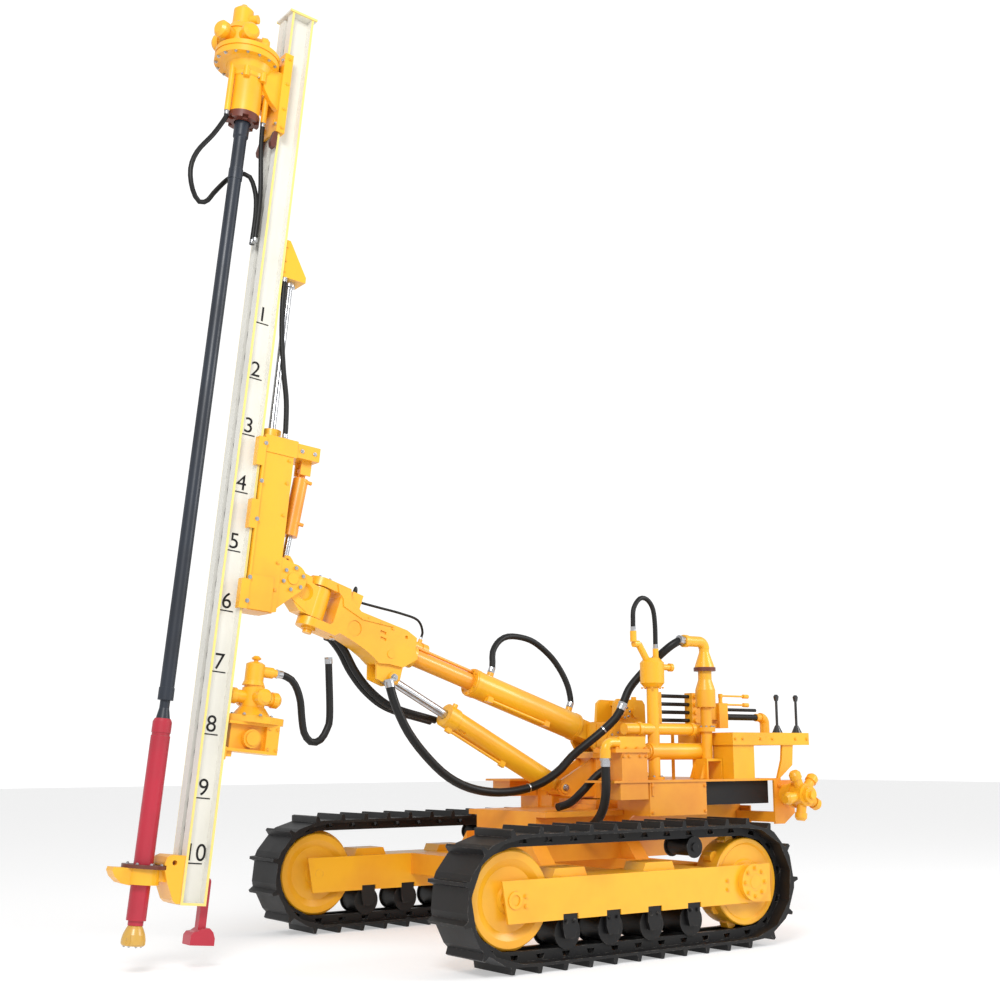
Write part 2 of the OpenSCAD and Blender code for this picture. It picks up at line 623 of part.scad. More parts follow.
// The boom head's casting, from the side: [along, above] in the boom's own line
head_outline = [
    [1440, -18], [1470, 28], [1480, 88], [1551, 106], [1849, 98], [1925, 140], [1945, 188], [swing_u, 188],
    [swing_u, 143], [2004, 143], [1990, 125], [1990, -16], [2004, -33], [swing_u, -33], [swing_u, -78],
    [1960, -78], [1936, -56], [1918, -57], [1840, -68], [1771, -82], [1710, -100], [1660, -122], [1600, -104], [1512, -92]
];
head_w = 140;
ear_outline = [[1505, -80], [1500, -160], [1508, -185], [1545, -205], [1640, -199], [1662, -130], [1700, -80]];
module boom_head() color(yellow) in_boom() difference() {
    union() {
        profile(head_w) polygon(head_outline);
        for (v = [143, -78]) translate([swing_u, 0, v]) cylinder(r = 70, h = 45);
        translate([1440, 0, 0]) rod_x(64, 90);
        both_sides() {
            translate([0, 44, 0]) profile(16) polygon(ear_outline);
            translate([lift_eye[0], 57, lift_eye[1]]) rod_y(30, 16);
            translate([0, head_w / 2 + 3, 0]) profile(6)
                polygon([[1640, 90], [1900, 96], [1930, 130], [1950, 180], [2030, 180], [2010, 143], [1975, 120], [1960, 84], [1830, 60]]);
        }
        translate([1607, 62, -51]) rod_y(22, 24);
        translate([swing_u, 0, -107]) cylinder(r = 24.5, h = 302);
        translate([swing_u, 0, 188]) cylinder(r = 38, h = 7);
        translate([swing_u, 0, -90]) cylinder(r = 38, h = 12);
        block([1850, -40, 90], [1915, 40, 190]);
        for (u = [1470, 1620]) {
            block([u, -128, 70], [u + 40, -60, 92]);
            block([u, -128, 70], [u + 40, -114, 130]);
        }
        block([1900, -130, -62], [1935, -60, -18]);
    }
    translate([1400, 0, 0]) rod_x(inner_d / 2 + 0.5, head_rear - 1400);
    translate([1400, 0, bar_v]) rod_x(9.5, head_rear - 1400);
    block([1478, -35.9, -300], [1602, 35.9, -56]);
    both_sides() {
        for (p = [[1689, 42], [1678, 10]]) block([p[0] - 19, 62, p[1] - 7], [p[0] + 19, 90, p[1] + 7]);
        translate([1544, 80, 68]) rod_y(10, 40);
        translate([1860, head_w / 2 + 10, 0]) rod_y(42, 30);
    }
}

lift_c = from_boom(lift_eye);
lift_len = dist(lift_base, lift_c);
barrel_end = 880;
rod_start = 464;
piston_at = 330;
module lift_barrel() color(yellow) in_line(lift_base, lift_c) difference() {
    union() {
        rod_y(42, 96);
        translate([0, 0, 66]) cylinder(r = 60, h = barrel_end - 66);
        block([-30, -40, 0], [30, 40, 70]);
        translate([0, 0, 60]) cylinder(r1 = 44, r2 = 60, h = 16);
        translate([0, 0, barrel_end - 74]) cylinder(r = 66, h = 74);
        translate([70, 20, 420]) cylinder(r = 8, h = 420);
        for (z = [410, 815]) block([30, 8, z], [84, 32, z + 34]);
        translate([0, 0, barrel_end - 40]) rotate([0, -90, 0]) cylinder(r = 15, h = 84);
    }
    rod_y(22.5, 200);
    translate([0, 0, 90]) cylinder(r = 50, h = barrel_end - 150);
    translate([0, 0, 90]) cylinder(r = 27, h = barrel_end);
    translate([48, 48, barrel_end - 120]) rotate([0, 0, 45]) cube([30, 16, 50], center = true);
}
module lift_piston() color(steel) in_line(lift_base, lift_c) translate([0, 0, piston_at]) ring(49, 26.5, 40);
module lift_rod() color(steel) in_line(lift_base, lift_c) {
    translate([0, 0, rod_start]) cylinder(r = 25.5, h = lift_len - rod_start - 27);
    translate([0, 0, lift_len]) difference() {
        rod_y(36, 60);
        rod_y(20, 70);
    }
}

// The knuckle: a scooped casting from the swing pin to the mast's dump pin
knuckle_d = from_mast(dump_pin);
knuckle_outline = [
    [2100, 130], [2162, 138], [2172, 166], [2287, 173], [2330, 160], [2350, 107], [2330, 60], [2287, 38],
    [2240, 10], [2190, -25], [2100, -27]
];
knuckle_w = 104;
module knuckle() color(yellow) {
    difference() {
        union() {
            in_boom() {
                translate([swing_u, 0, -28]) cylinder(r = 60, h = 166);
                profile(knuckle_w) polygon(knuckle_outline);
                for (v = [mast_swing_v - 37, mast_swing_v + 23]) {
                    block([swing_u - 30, mast_swing_arm_y, v], [swing_u + 30, 0, v + 14]);
                    translate([swing_u, mast_swing_arm_y, v]) cylinder(r = 30, h = 14);
                }
                both_sides() translate([0, knuckle_w / 2 - 1, 0]) profile(8)
                    polygon([[2150, -20], [2240, 12], [2300, 50], [2270, 70], [2215, 60], [2170, 34]]);
            }
            in_mast() translate([dump_pin[0], 0, dump_pin[1]]) {
                rod_y(66, 104);
                for (y = [-31, 31]) translate([0, y, 0]) profile(14)
                    polygon([[-58, 20], [60, 20], [51, 98], [36, 122], [10, 122], [-6, 104]]);
            }
        }
        in_mast() translate([dump_pin[0], 0, dump_pin[1]]) rod_y(30, 300);
        in_mast() translate([dump_eye_rest[0], 0, dump_eye_rest[1]]) rod_y(46, 47.8);
        in_mast() translate([dump_eye_rest[0], 0, dump_eye_rest[1]]) rod_y(9, 200);
        in_boom() {
            translate([swing_u, 0, 0]) cylinder(r = 25, h = 600, center = true);
            both_sides() translate([2185, 34, 78]) rotate([-90, 0, 0]) cylinder(r1 = 34, r2 = 52, h = 30);
            block([2300, -23.9, 100], [2420, 23.9, 260]);
            block([2165, -23.9, 150], [2300, 23.9, 260]);
        }
    }
}

swing_base_u = 1270;
mast_swing_stroke = 580;
module mast_swing_barrel() color(yellow) in_boom() translate([swing_base_u, mast_swing_arm_y, mast_swing_v]) difference() {
    union() {
        rod_x(37, mast_swing_stroke);
        rod_x(42, 40);
        translate([mast_swing_stroke - 50, 0, 0]) rod_x(42, 50);
        for (u = [50, 520]) translate([u, 0, 30]) cylinder(r = 12, h = 26);
    }
    translate([60, 0, 0]) rod_x(17, mast_swing_stroke);
}
module mast_swing_rod() color(steel) in_boom() {
    translate([1560, mast_swing_arm_y, mast_swing_v]) rod_x(16, swing_u - 1580);
    translate([swing_u, mast_swing_arm_y, mast_swing_v]) cylinder(r = 28, h = 40, center = true);
}

slide_side = [[-285, 1450], [-250, 1440], [-106, 1440], [-106, 2330], [-285, 2330]];
dump_lug = [dump_pin + [0, 78], dump_pin + [-40, -66], [-262, 1448], [-200, 1445], [-200, 1760], [-270, 1740]];
module slide_frame() color(yellow) in_mast() difference() {
    union() {
        both_sides() {
            translate([0, 76, 0]) profile(12) polygon(slide_side);
            translate([0, 68, 0]) profile(20) union() {
                translate(dump_pin) circle(r = 78);
                polygon(dump_lug);
            }
            // Strip along the mast, with hooks round its rear flange
            block([mast_back - 18, 70, 1440], [mast_back - 6, 98, 2330]);
            for (z = [1440, 1850, 2180]) {
                block([mast_back - 18, 86, z], [mast_back + 29, 98, z + 150]);
                block([mast_back + 17, 56, z], [mast_back + 29, 98, z + 150]);
            }
            block([-250, 80, 1444], [-110, 90, 1620]);
            block([dump_top[0] - 30, 26, dump_top[1] - 28], [dump_top[0] + 30, 38, bar_z]);
        }
        block([-265, -75, 1440], [-110, 75, ext_z]);
        block([-150, -75, ext_z], [-110, 75, 1560]);
        block([-435, -80, bar_z], [-120, 80, bar_z + 75]);
        block([-300, -88, bar_z - 8], [-112, 88, bar_z + 82]);
        block([-285, -75, 2200], [-270, 75, bar_z]);
        translate([dump_pin[0], 0, dump_pin[1]]) rod_y(29.5, 170);
    }
    translate([ext_x, 0, ext_z]) cylinder(r = 42.5, h = 900);
}

dump_len = dist(dump_top, dump_eye_rest);
dump_barrel_len = 360;
module in_dump() in_mast() translate([dump_top[0], 0, dump_top[1]]) rotate([0, along(dump_top, dump_eye_rest), 0]) children();
module dump_barrel() color(dark_yellow) in_dump() difference() {
    union() {
        rod_y(24, 46);
        cylinder(r = 20, h = 50);
        translate([0, 0, 46]) cylinder(r = 40, h = dump_barrel_len - 46);
        translate([0, 0, dump_barrel_len - 40]) cylinder(r = 42, h = 40);
        for (z = [60, 290]) translate([0, 30, z]) rotate([0, 90, 0]) cylinder(r = 10, h = 50);
    }
    translate([0, 0, 90]) cylinder(r = 17.5, h = dump_barrel_len);
}
module dump_rod() color(steel) in_dump() {
    translate([0, 0, 110]) cylinder(r = 17, h = dump_len - 124);
    translate([0, 0, dump_len]) rod_y(22, 36);
}

module extension_barrel() color(yellow) in_mast() translate([ext_x, 0, ext_z]) difference() {
    union() {
        cylinder(r = 42, h = ext_top - ext_z);
        translate([0, 0, bar_z + 82 - ext_z]) cylinder(r = 50, h = ext_top - bar_z - 82);
    }
    translate([0, 0, 30]) cylinder(r = 20, h = 900);
}
ext_rod_start = 2140;
bracket_z = 3230;
module extension_rod() color(steel) in_mast() {
    translate([ext_x, 0, ext_rod_start]) cylinder(r = 19, h = bracket_z + 40 - ext_rod_start);
    translate([ext_x, 0, bracket_z - 26]) cylinder(r = 32, h = 26);
}
module rod_bracket() color(yellow) in_mast() difference() {
    union() {
        block([-244, -62, bracket_z], [mast_back - 0.2, 62, bracket_z + 14]);
        both_sides() translate([0, 54, 0]) profile(16)
            polygon([[mast_back - 0.2, bracket_z], [-244, bracket_z], [-244, bracket_z + 30], [-130, bracket_z + 210], [mast_back - 0.2, bracket_z + 210]]);
        block([-116, -62, bracket_z], [mast_back - 0.2, 62, bracket_z + 210]);
        block([ext_x - 34, -40, bracket_z + 10], [ext_x + 34, 40, bracket_z + 56]);
    }
    translate([ext_x, 0, bracket_z - 100]) cylinder(r = 19.2, h = 140);
}

module mast() color(white) in_mast() {
    both_sides() {
        block([mast_back, 20, 22], [mast_front, 28, mast_len]);
        for (x = [mast_back, mast_front - 12]) block([x, 20, 22], [x + 12, mast_w / 2, mast_len]);
    }
    for (z = [400:700:4500]) block([chain_x - 15, -22, z], [chain_x + 15, 22, z + 60]);
    block([mast_back, -mast_w / 2, 10], [mast_front, mast_w / 2, 22]);
    block([mast_back - 18, -mast_w / 2 - 8, mast_len], [mast_front + 16, mast_w / 2 + 8, mast_len + 12]);
}

motor_axis = -255;
module feed_motor() color(yellow) in_mast() {
    // Open-sided chain case
    block([-387, -70, 742], [-110, 70, 757]);
    block([-387, -70, 742], [-318, 70, 890]);
    block([-330, -40, 742], [-135, 40, 890]);
    block([-387, -70, 876], [-112, 70, 890]);
    both_sides() translate([-240, 57, 811]) {
        rod_y(46, 34);
        translate([0, 20, 0]) rod_y(34, 12);
    }
    both_sides() translate([-395, 44, 770]) rod_x(12, 20);
    // Pointed flange, bell and the radial cylinders
    translate([motor_axis, 0, 890]) linear_extrude(34) polygon([
        [-173, 20], [-150, 60], [-60, 96], [30, 96], [110, 50], [153, 26], [153, -26], [110, -50], [30, -96],
        [-60, -96], [-150, -60], [-173, -20]
    ]);
    translate([motor_axis, 0, 924]) cylinder(r1 = 98, r2 = 64, h = 44);
    translate([motor_axis, 0, 966]) cylinder(r = 52, h = 110);
    translate([motor_axis, 0, 968]) piston_motor(60, 96, 145, 4, 0);
    translate([motor_axis + 8, 0, 1076]) cylinder(r1 = 58, r2 = 48, h = 24);
    translate([motor_axis + 8, 0, 1100]) cylinder(r = 48, h = 84);
    translate([motor_axis + 8, 0, 1184]) cylinder(r1 = 48, r2 = 30, h = 10);
    translate([motor_axis + 8, 0, 1194]) cylinder(r = 12, h = 18);
    translate([motor_axis + 8, 0, 1206]) cylinder(r1 = 20, r2 = 26, h = 8);
    translate([motor_axis + 8, 0, 1214]) cylinder(r1 = 26, r2 = 12, h = 12);
    translate([-345, 0, 1151]) rod_x(28, 70);
    translate([-365, 0, 1151]) rod_x(21, 30);
    // Clamp on the mast's rear flange
    block([-150, -50, 715], [mast_back - 0.2, 50, 752]);
    block([mast_back - 10, -75, 700], [mast_back - 0.2, 75, 760]);
    translate([-128, 0, 700]) cylinder(r = 14, h = 16);
}

chain_step = 60;
chain_links = 37;
chain_low = 180;
module chain_run() {
    steps = 2 * chain_links;
    wave = [for (i = [0:steps]) [i % 2 == 0 ? 5 : 10, chain_low + i * chain_step]];
    profile(18) polygon(concat([for (p = wave) p], [for (i = [steps:-1:0]) [-wave[i][0], wave[i][1]]]));
}
module feed_chain() color(black) in_mast() {
    for (x = [-chain_half, chain_half]) translate([chain_x + x, 0, 0]) chain_run();
    for (z = [chain_low - 10, chain_low + 2 * chain_links * chain_step + 10])
        translate([chain_x, 0, z]) rotate([90, 0, 0]) cylinder(r = chain_half + 6, h = 18, center = true, $fn = 16);
}

bush_r = hammer_d / 2 + 5;
module guide_arm() color(yellow) in_mast() difference() {
    union() {
        translate([mast_front, 0, 0]) profile(150)
            polygon([[0.3, 15], [0.3, 235], [70, 235], [92, 225], [100, 200], [98, 165], [74, 100], [40, 30], [22, 15]]);
        translate([drill_x, 0, 92]) cylinder(r = 82, h = 73);
        block([mast_front + 20, -52, 110], [drill_x + 60, 52, 165]);
        profile(84) polygon([[240, 165], [240, 96], [277, 87], [320, 96], [352, 122], [366, 148], [362, 165]]);
    }
    translate([drill_x, 0, 0]) cylinder(r = bush_r, h = 400);
    translate([drill_x - 6, 0, 165]) cylinder(r = 108, h = 20);
    translate([mast_front + 52, 0, 200]) rod_y(12, 200);
}
module guide_bush() color(brown) in_mast() translate([drill_x - 6, 0, 165]) difference() {
    cylinder(r = 106, h = 17);
    translate([6, 0, -1]) cylinder(r = bush_r, h = 30);
}

module spike() color(crimson) in_mast() {
    block([mast_back - 40, -20, -110], [mast_back - 0.2, 20, 118]);
    translate([mast_back - 20.1, 0, 118]) rod_y(19.9, 40);
    translate([0, 0, -172]) profile(90) polygon([
        [-182, 0], [-58, 0], [-58, 44], [-70, 60], [-92, 64], [-108, 76], [-150, 80], [-170, 62], [-182, 34]
    ]);
}

// Bars that run down the mast's front flanges
module carriage() color(yellow) in_mast() {
    block([mast_front + 6, -98, carriage_z], [carriage_front, 98, carriage_z + carriage_h]);
    both_sides() {
        block([mast_front - 29, 86, carriage_z], [mast_front + 10, 98, carriage_z + carriage_h]);
        block([mast_front - 29, 56, carriage_z], [mast_front - 17, 98, carriage_z + carriage_h]);
        translate([carriage_front, 70, carriage_z + 60]) rod_x(16, 14);
    }
}
module carriage_shoes() color(brown) in_mast() both_sides() {
    translate([0, 76, carriage_z]) profile(30)
        polygon([[mast_front + 7, 0], [mast_front + 26, 0], [mast_front + 40, -66], [mast_front + 34, -90], [mast_front + 14, -96], [mast_front + 7, -80]]);
}

chuck_low = 4072;
module rotary_head() color(yellow) in_mast() {
    translate([drill_x, 0, 0]) rotate_extrude() polygon([
        [0, chuck_low], [84, chuck_low], [84, 4276], [92, 4282], [96, 4300], [112, 4318], [126, 4352], [152, 4364],
        [152, 4376], [0, 4376]
    ]);
    // Gear case with its lip, and a sloping cover
    translate([drill_x + 20, 0, 4362]) cylinder(r = 174, h = 30);
    translate([drill_x + 20, 0, 4392]) cylinder(r = 168, h = 10);
    translate([drill_x + 20, 0, 4402]) cylinder(r = 174, h = 26);
    translate([drill_x + 26, 0, 4428]) cylinder(r1 = 166, r2 = 84, h = 26);
    // Arms to the carriage
    both_sides() translate([0, 62, 0]) profile(34) polygon([
        [carriage_front, 4140], [mast_front + 70, 4180], [drill_x - 70, 4230], [drill_x - 20, 4362],
        [carriage_front, 4362]
    ]);
    block([carriage_front, -50, 4210], [drill_x - 60, 50, 4362]);
    for (a = [60, 120, 240, 300])
        translate([drill_x, 0, 0]) rotate(a) translate([96, 0, 4262]) cylinder(r = 17, h = 60);
    for (r = [head_hose_route, head_hose_2_route])
        translate([r[0][0], r[0][1], r[0][2]]) cylinder(r = head_hose_r + 3, h = 4364 - r[0][2]);
    // Radial piston motor with an upright casing
    translate([drill_x + 75, 0, 4440]) {
        piston_motor(74, 112, 158, 5, 18);
        translate([0, 0, 100]) cylinder(r1 = 82, r2 = 62, h = 40);
        translate([0, 0, 140]) cylinder(r = 54, h = 96);
        translate([0, 0, 236]) cylinder(r1 = 54, r2 = 34, h = 18);
        translate([0, 0, 254]) cylinder(r = 16, h = 18);
        translate([0, 0, 180]) rotate([-90, 0, 40]) cylinder(r = 24, h = 92);
    }
}
// Toothed ring under the chuck
ring_teeth = 6;
module chuck_ring() color(brown) in_mast() translate([drill_x, 0, 4030]) difference() {
    cylinder(r = 88, h = chuck_low - 4030);
    translate([0, 0, -1]) cylinder(r = 46, h = 60);
    for (i = [0:ring_teeth - 1]) rotate(15 + i * 360 / ring_teeth) block([60, -16, -1], [100, 16, 16]);
}

// Rod, with the tool joints at its ends
module drill_rod() color(slate) in_mast() translate([drill_x, 0, 0]) {
    translate([0, 0, 950]) cylinder(r = rod_d / 2, h = 3122);
    for (z = [950, 3700]) translate([0, 0, z]) cylinder(r = 38, h = 60);
    translate([0, 0, 3950]) cylinder(r = 41, h = 80);
    translate([0, 0, 3940]) cylinder(r1 = rod_d / 2, r2 = 41, h = 10);
    translate([0, 0, 862]) cylinder(r1 = 34, r2 = 24, h = 50);
    translate([0, 0, 912]) cylinder(r = 24, h = 40);
}
module hammer() color(crimson) in_mast() translate([drill_x, 0, 0]) {
    translate([0, 0, -70]) cylinder(r = hammer_d / 2, h = 850);
    translate([0, 0, 780]) cylinder(r = hammer_d / 2 - 3, h = 14);
    translate([0, 0, 794]) cylinder(r = hammer_d / 2, h = 52);
    translate([0, 0, 846]) cylinder(r1 = hammer_d / 2, r2 = 38, h = 16);
    translate([0, 0, -92]) cylinder(r = 36, h = 24);
}
// Pear-shaped head with a flat cutting face and flushing slots
module bit() color(ochre) in_mast() translate([drill_x, 0, -182]) difference() {
    rotate_extrude() polygon([
        [0, 0], [bit_d / 2 - 6, 0], [bit_d / 2, 8], [bit_d / 2, 26], [bit_d / 2 - 5, 50], [bit_d / 2 - 16, 76], [32, 90], [0, 90]
    ]);
    for (a = [45, 135, 225, 315]) rotate(a) translate([bit_d / 2 + 4, 0, -1]) cylinder(r = 13, h = 62);
}

// Hoses
module valve_hoses() color(black) translate([at_x(0), bank_y, 0]) {
    for (z = valve_zs) translate([-1860, 0, z]) rod_x(11, 240);
    translate([-2430, 0, 1218]) rod_x(19, 280);
    translate([-2430, 0, 1262]) rod_x(10, 280);
}
module down_hose() color(black) translate([at_x(0), 0, 0]) tube(down_hose_route, down_hose_r, [1, 0, 0]);
module pipe_hose() color(black) translate([at_x(0), 0, 0]) tube(pipe_hose_route, pipe_hose_r);
module air_hose_rear() color(black) translate([at_x(0), 0, 0]) tube(air_hose_rear_route, air_hose_r);
module air_hose() color(black) translate([at_x(0), 0, 0]) tube(air_hose_route, air_hose_r);
module loop_hose() color(black) in_boom() tube(loop_hose_route, loop_hose_r);
module under_hose() color(black) in_boom() tube(under_hose_route, under_hose_r);
module feed_hose() color(black) in_mast() tube(feed_hose_route, feed_hose_r);
module head_hoses() color(black) in_mast() {
    tube(head_hose_route, head_hose_r);
    tube(head_hose_2_route, head_hose_r);
}

chassis_frame();
pedestal();
cross_beams();
deck();
console();
levers();
air_pipes();
clamp_ring();
valve_bank();
oil_tank();
track_frame_left();
track_frame_right();
track_left();
track_right();
idlers();
sprockets();
rollers();
traction_motors();
motor_brackets();
turret();
turret_fork();
boom_swing_barrel();
boom_swing_rod();
boom_outer();
boom_inner();
boom_head();
lift_barrel();
lift_piston();
lift_rod();
knuckle();
mast_swing_barrel();
mast_swing_rod();
slide_frame();
dump_barrel();
dump_rod();
extension_barrel();
mast();
extension_rod();
feed_motor();
feed_chain();
rod_bracket();
guide_arm();
guide_bush();
spike();
carriage();
carriage_shoes();
rotary_head();
chuck_ring();
drill_rod();
hammer();
bit();
valve_hoses();
down_hose();
pipe_hose();
air_hose_rear();
air_hose();
loop_hose();
under_hose();
feed_hose();
head_hoses();
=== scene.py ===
"""Looks of the crawler drilling rig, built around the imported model. Metres; X forward, Y left, Z up."""

import json
import math

import bmesh
import bpy
from mathutils import Matrix, Vector


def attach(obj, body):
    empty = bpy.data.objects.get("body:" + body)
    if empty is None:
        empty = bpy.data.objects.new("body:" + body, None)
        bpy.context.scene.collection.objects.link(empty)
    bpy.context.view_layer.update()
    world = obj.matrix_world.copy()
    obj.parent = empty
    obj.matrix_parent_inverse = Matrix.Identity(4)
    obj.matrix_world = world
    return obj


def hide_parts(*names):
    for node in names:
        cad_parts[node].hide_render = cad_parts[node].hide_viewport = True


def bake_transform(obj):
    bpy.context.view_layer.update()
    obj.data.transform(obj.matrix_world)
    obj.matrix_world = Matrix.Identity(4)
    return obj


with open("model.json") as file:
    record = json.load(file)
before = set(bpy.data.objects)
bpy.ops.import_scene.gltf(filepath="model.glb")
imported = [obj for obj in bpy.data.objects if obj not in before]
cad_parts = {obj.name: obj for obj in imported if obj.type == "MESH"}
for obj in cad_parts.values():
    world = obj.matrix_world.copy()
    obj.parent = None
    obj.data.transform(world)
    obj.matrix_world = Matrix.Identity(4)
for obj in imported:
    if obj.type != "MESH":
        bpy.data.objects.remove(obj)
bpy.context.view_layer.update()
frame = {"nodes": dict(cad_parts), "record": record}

# Places that part.scad gives too
IDLER_X = 0.509
MAST_FOOT = Vector((IDLER_X + 1.200, 0, 0.294))
MAST_LEAN = math.radians(5.6)
BOOM_PIN = Vector((IDLER_X - 1.460, 0, 1.077))
BOOM_ANGLE = math.radians(18)
# In millimetres: the wheels' axles above the ground, and from one axle to the other
WHEEL_Z = 330
WHEELBASE = 1556

# The camera stands where the photograph was taken from
CAMERA_PLACE = Vector((4.450, 6.362, 0.990))
CAMERA_RIGHT = Vector((-0.809, 0.588, -0.0035))
CAMERA_UP = Vector((0.106, 0.151, 0.983))
CAMERA_LENS = 49.46
SENSOR = 36.0

# Lamps: name, place, target, power
LAMP_SIZE = 3.0
LAMPS = (
    ("key", (5.5, 6.0, 6.5), (0, 0, 1.5), 440),
    ("side", (-5.0, 5.5, 4.5), (0, 0, 1.2), 220),
)
SKY_LIGHT = 0.70
SKY_SEEN = 1.1
FLOOR_SIZE = 80
FLOOR_GREY = 0.62
FLOOR_GLOW = 0.42


def make_camera():
    right = CAMERA_RIGHT.normalized()
    back = right.cross(CAMERA_UP).normalized()
    up = back.cross(right)
    turned = Matrix((right, up, back)).transposed().to_4x4()
    data = bpy.data.cameras.new("camera")
    data.lens = CAMERA_LENS
    data.sensor_width = SENSOR
    camera = bpy.data.objects.new("camera", data)
    camera.matrix_world = Matrix.Translation(CAMERA_PLACE) @ turned
    bpy.context.scene.collection.objects.link(camera)
    bpy.context.scene.camera = camera


def make_lamp(name, place, target, power):
    data = bpy.data.lights.new(name, "AREA")
    data.shape = "DISK"
    data.size = LAMP_SIZE
    data.energy = power
    lamp = bpy.data.objects.new(name, data)
    lamp.location = place
    lamp.rotation_euler = (Vector(target) - Vector(place)).to_track_quat("-Z", "Y").to_euler()
    bpy.context.scene.collection.objects.link(lamp)


# Finishes
def new_material(name):
    material = bpy.data.materials.new(name)
    material.use_nodes = True
    nodes = material.node_tree.nodes
    return material, nodes, material.node_tree.links, nodes["Principled BSDF"]


def mapped(nodes, links, value, low, high):
    """0 at low and 1 at high, whichever of them is the larger."""
    reach = nodes.new("ShaderNodeMapRange")
    reach.inputs["From Min"].default_value = low
    reach.inputs["From Max"].default_value = high
    links.new(value, reach.inputs["Value"])
    return reach.outputs["Result"]


def mottle(nodes, links, scale, low, high, detail=4.0):
    """A cloudy pattern in Object coordinates, from 0 below low to 1 above high."""
    place = nodes.new("ShaderNodeTexCoord")
    noise = nodes.new("ShaderNodeTexNoise")
    noise.inputs["Scale"].default_value = scale
    noise.inputs["Detail"].default_value = detail
    links.new(place.outputs["Object"], noise.inputs["Vector"])
    return mapped(nodes, links, noise.outputs["Fac"], low, high)


def mixed(nodes, links, factor, first, second):
    """Two colours, or a colour output and a colour, mixed by a factor."""
    mix = nodes.new("ShaderNodeMix")
    mix.data_type = "RGBA"
    links.new(factor, mix.inputs["Factor"])
    for socket, value in (("A", first), ("B", second)):
        target = [s for s in mix.inputs if s.name == socket and s.type == "RGBA"][0]
        if isinstance(value, tuple):
            target.default_value = (*value, 1)
        else:
            links.new(value, target)
    return [s for s in mix.outputs if s.type == "RGBA"][0]


def edge_mask(nodes, links, radius):
    """1 on the outer edges of a piece, within about a radius of them."""
    bevel = nodes.new("ShaderNodeBevel")
    bevel.inputs["Radius"].default_value = radius
    bevel.samples = 4
    flat = nodes.new("ShaderNodeNewGeometry")
    dot = nodes.new("ShaderNodeVectorMath")
    dot.operation = "DOT_PRODUCT"
    links.new(bevel.outputs["Normal"], dot.inputs[0])
    links.new(flat.outputs["Normal"], dot.inputs[1])
    return mapped(nodes, links, dot.outputs["Value"], 0.995, 0.90)


def rubbed(nodes, links, base, worn, radius, grain, low, high):
    """The base colour, worn in specks along the edges."""
    both = nodes.new("ShaderNodeMath")
    both.operation = "MULTIPLY"
    links.new(edge_mask(nodes, links, radius), both.inputs[0])
    links.new(mottle(nodes, links, grain, low, high), both.inputs[1])
    return mixed(nodes, links, both.outputs[0], base, worn)


def uneven(nodes, links, shader, cloud, least, spread):
    """Roughness that grows with the clouds."""
    rough = nodes.new("ShaderNodeMapRange")
    rough.inputs["To Min"].default_value = least
    rough.inputs["To Max"].default_value = least + spread
    links.new(cloud, rough.inputs["Value"])
    links.new(rough.outputs["Result"], shader.inputs["Roughness"])


def grained(nodes, links, shader, scale, strength, distance):
    """Fine bumps all over."""
    bump = nodes.new("ShaderNodeBump")
    bump.inputs["Strength"].default_value = strength
    bump.inputs["Distance"].default_value = distance
    links.new(mottle(nodes, links, scale, 0.3, 0.7, 2.0), bump.inputs["Height"])
    links.new(bump.outputs["Normal"], shader.inputs["Normal"])


def orange_peel(nodes, links, shader):
    grained(nodes, links, shader, 260.0, 0.10, 0.0006)


def paint(name, colour, shade, worn, roughness=0.34, coat=0.35, shine=0.5):
    """Sprayed machine paint: clouds of a deeper shade, rubbed edges, slight orange peel."""
    material, nodes, links, shader = new_material(name)
    cloud = mottle(nodes, links, 3.2, 0.42, 0.68)
    base = mixed(nodes, links, cloud, colour, shade)
    coloured = rubbed(nodes, links, base, worn, 0.004, 38.0, 0.50, 0.62)
    links.new(coloured, shader.inputs["Base Color"])
    uneven(nodes, links, shader, cloud, roughness, 0.16)
    shader.inputs["Specular IOR Level"].default_value = shine
    shader.inputs["Coat Weight"].default_value = coat
    shader.inputs["Coat Roughness"].default_value = 0.22
    orange_peel(nodes, links, shader)
    return material


def metal(name, colour, dull, roughness):
    """Bare steel with fine streaks and duller patches."""
    material, nodes, links, shader = new_material(name)
    cloud = mottle(nodes, links, 14.0, 0.4, 0.7)
    links.new(mixed(nodes, links, cloud, colour, dull), shader.inputs["Base Color"])
    shader.inputs["Metallic"].default_value = 1.0
    uneven(nodes, links, shader, cloud, roughness, 0.2)
    grained(nodes, links, shader, 420.0, 0.08, 0.0004)
    return material


def mast_paint(name):
    """Off-white webs and flanges with pale yellow flange edges."""
    material, nodes, links, shader = new_material(name)
    place = nodes.new("ShaderNodeTexCoord")
    side = nodes.new("ShaderNodeSeparateXYZ")
    links.new(place.outputs["Object"], side.inputs["Vector"])
    width = nodes.new("ShaderNodeMath")
    width.operation = "ABSOLUTE"
    links.new(side.outputs["Y"], width.inputs[0])
    edge = mapped(nodes, links, width.outputs[0], 0.076, 0.078)
    cloud = mottle(nodes, links, 2.4, 0.42, 0.72)
    base = mixed(nodes, links, cloud, (0.78, 0.765, 0.70), (0.70, 0.685, 0.62))
    base = mixed(nodes, links, edge, base, (0.86, 0.68, 0.20))
    coloured = rubbed(nodes, links, base, (0.42, 0.38, 0.30), 0.003, 30.0, 0.52, 0.64)
    links.new(coloured, shader.inputs["Base Color"])
    shader.inputs["Roughness"].default_value = 0.42
    shader.inputs["Coat Weight"].default_value = 0.2
    orange_peel(nodes, links, shader)
    return material


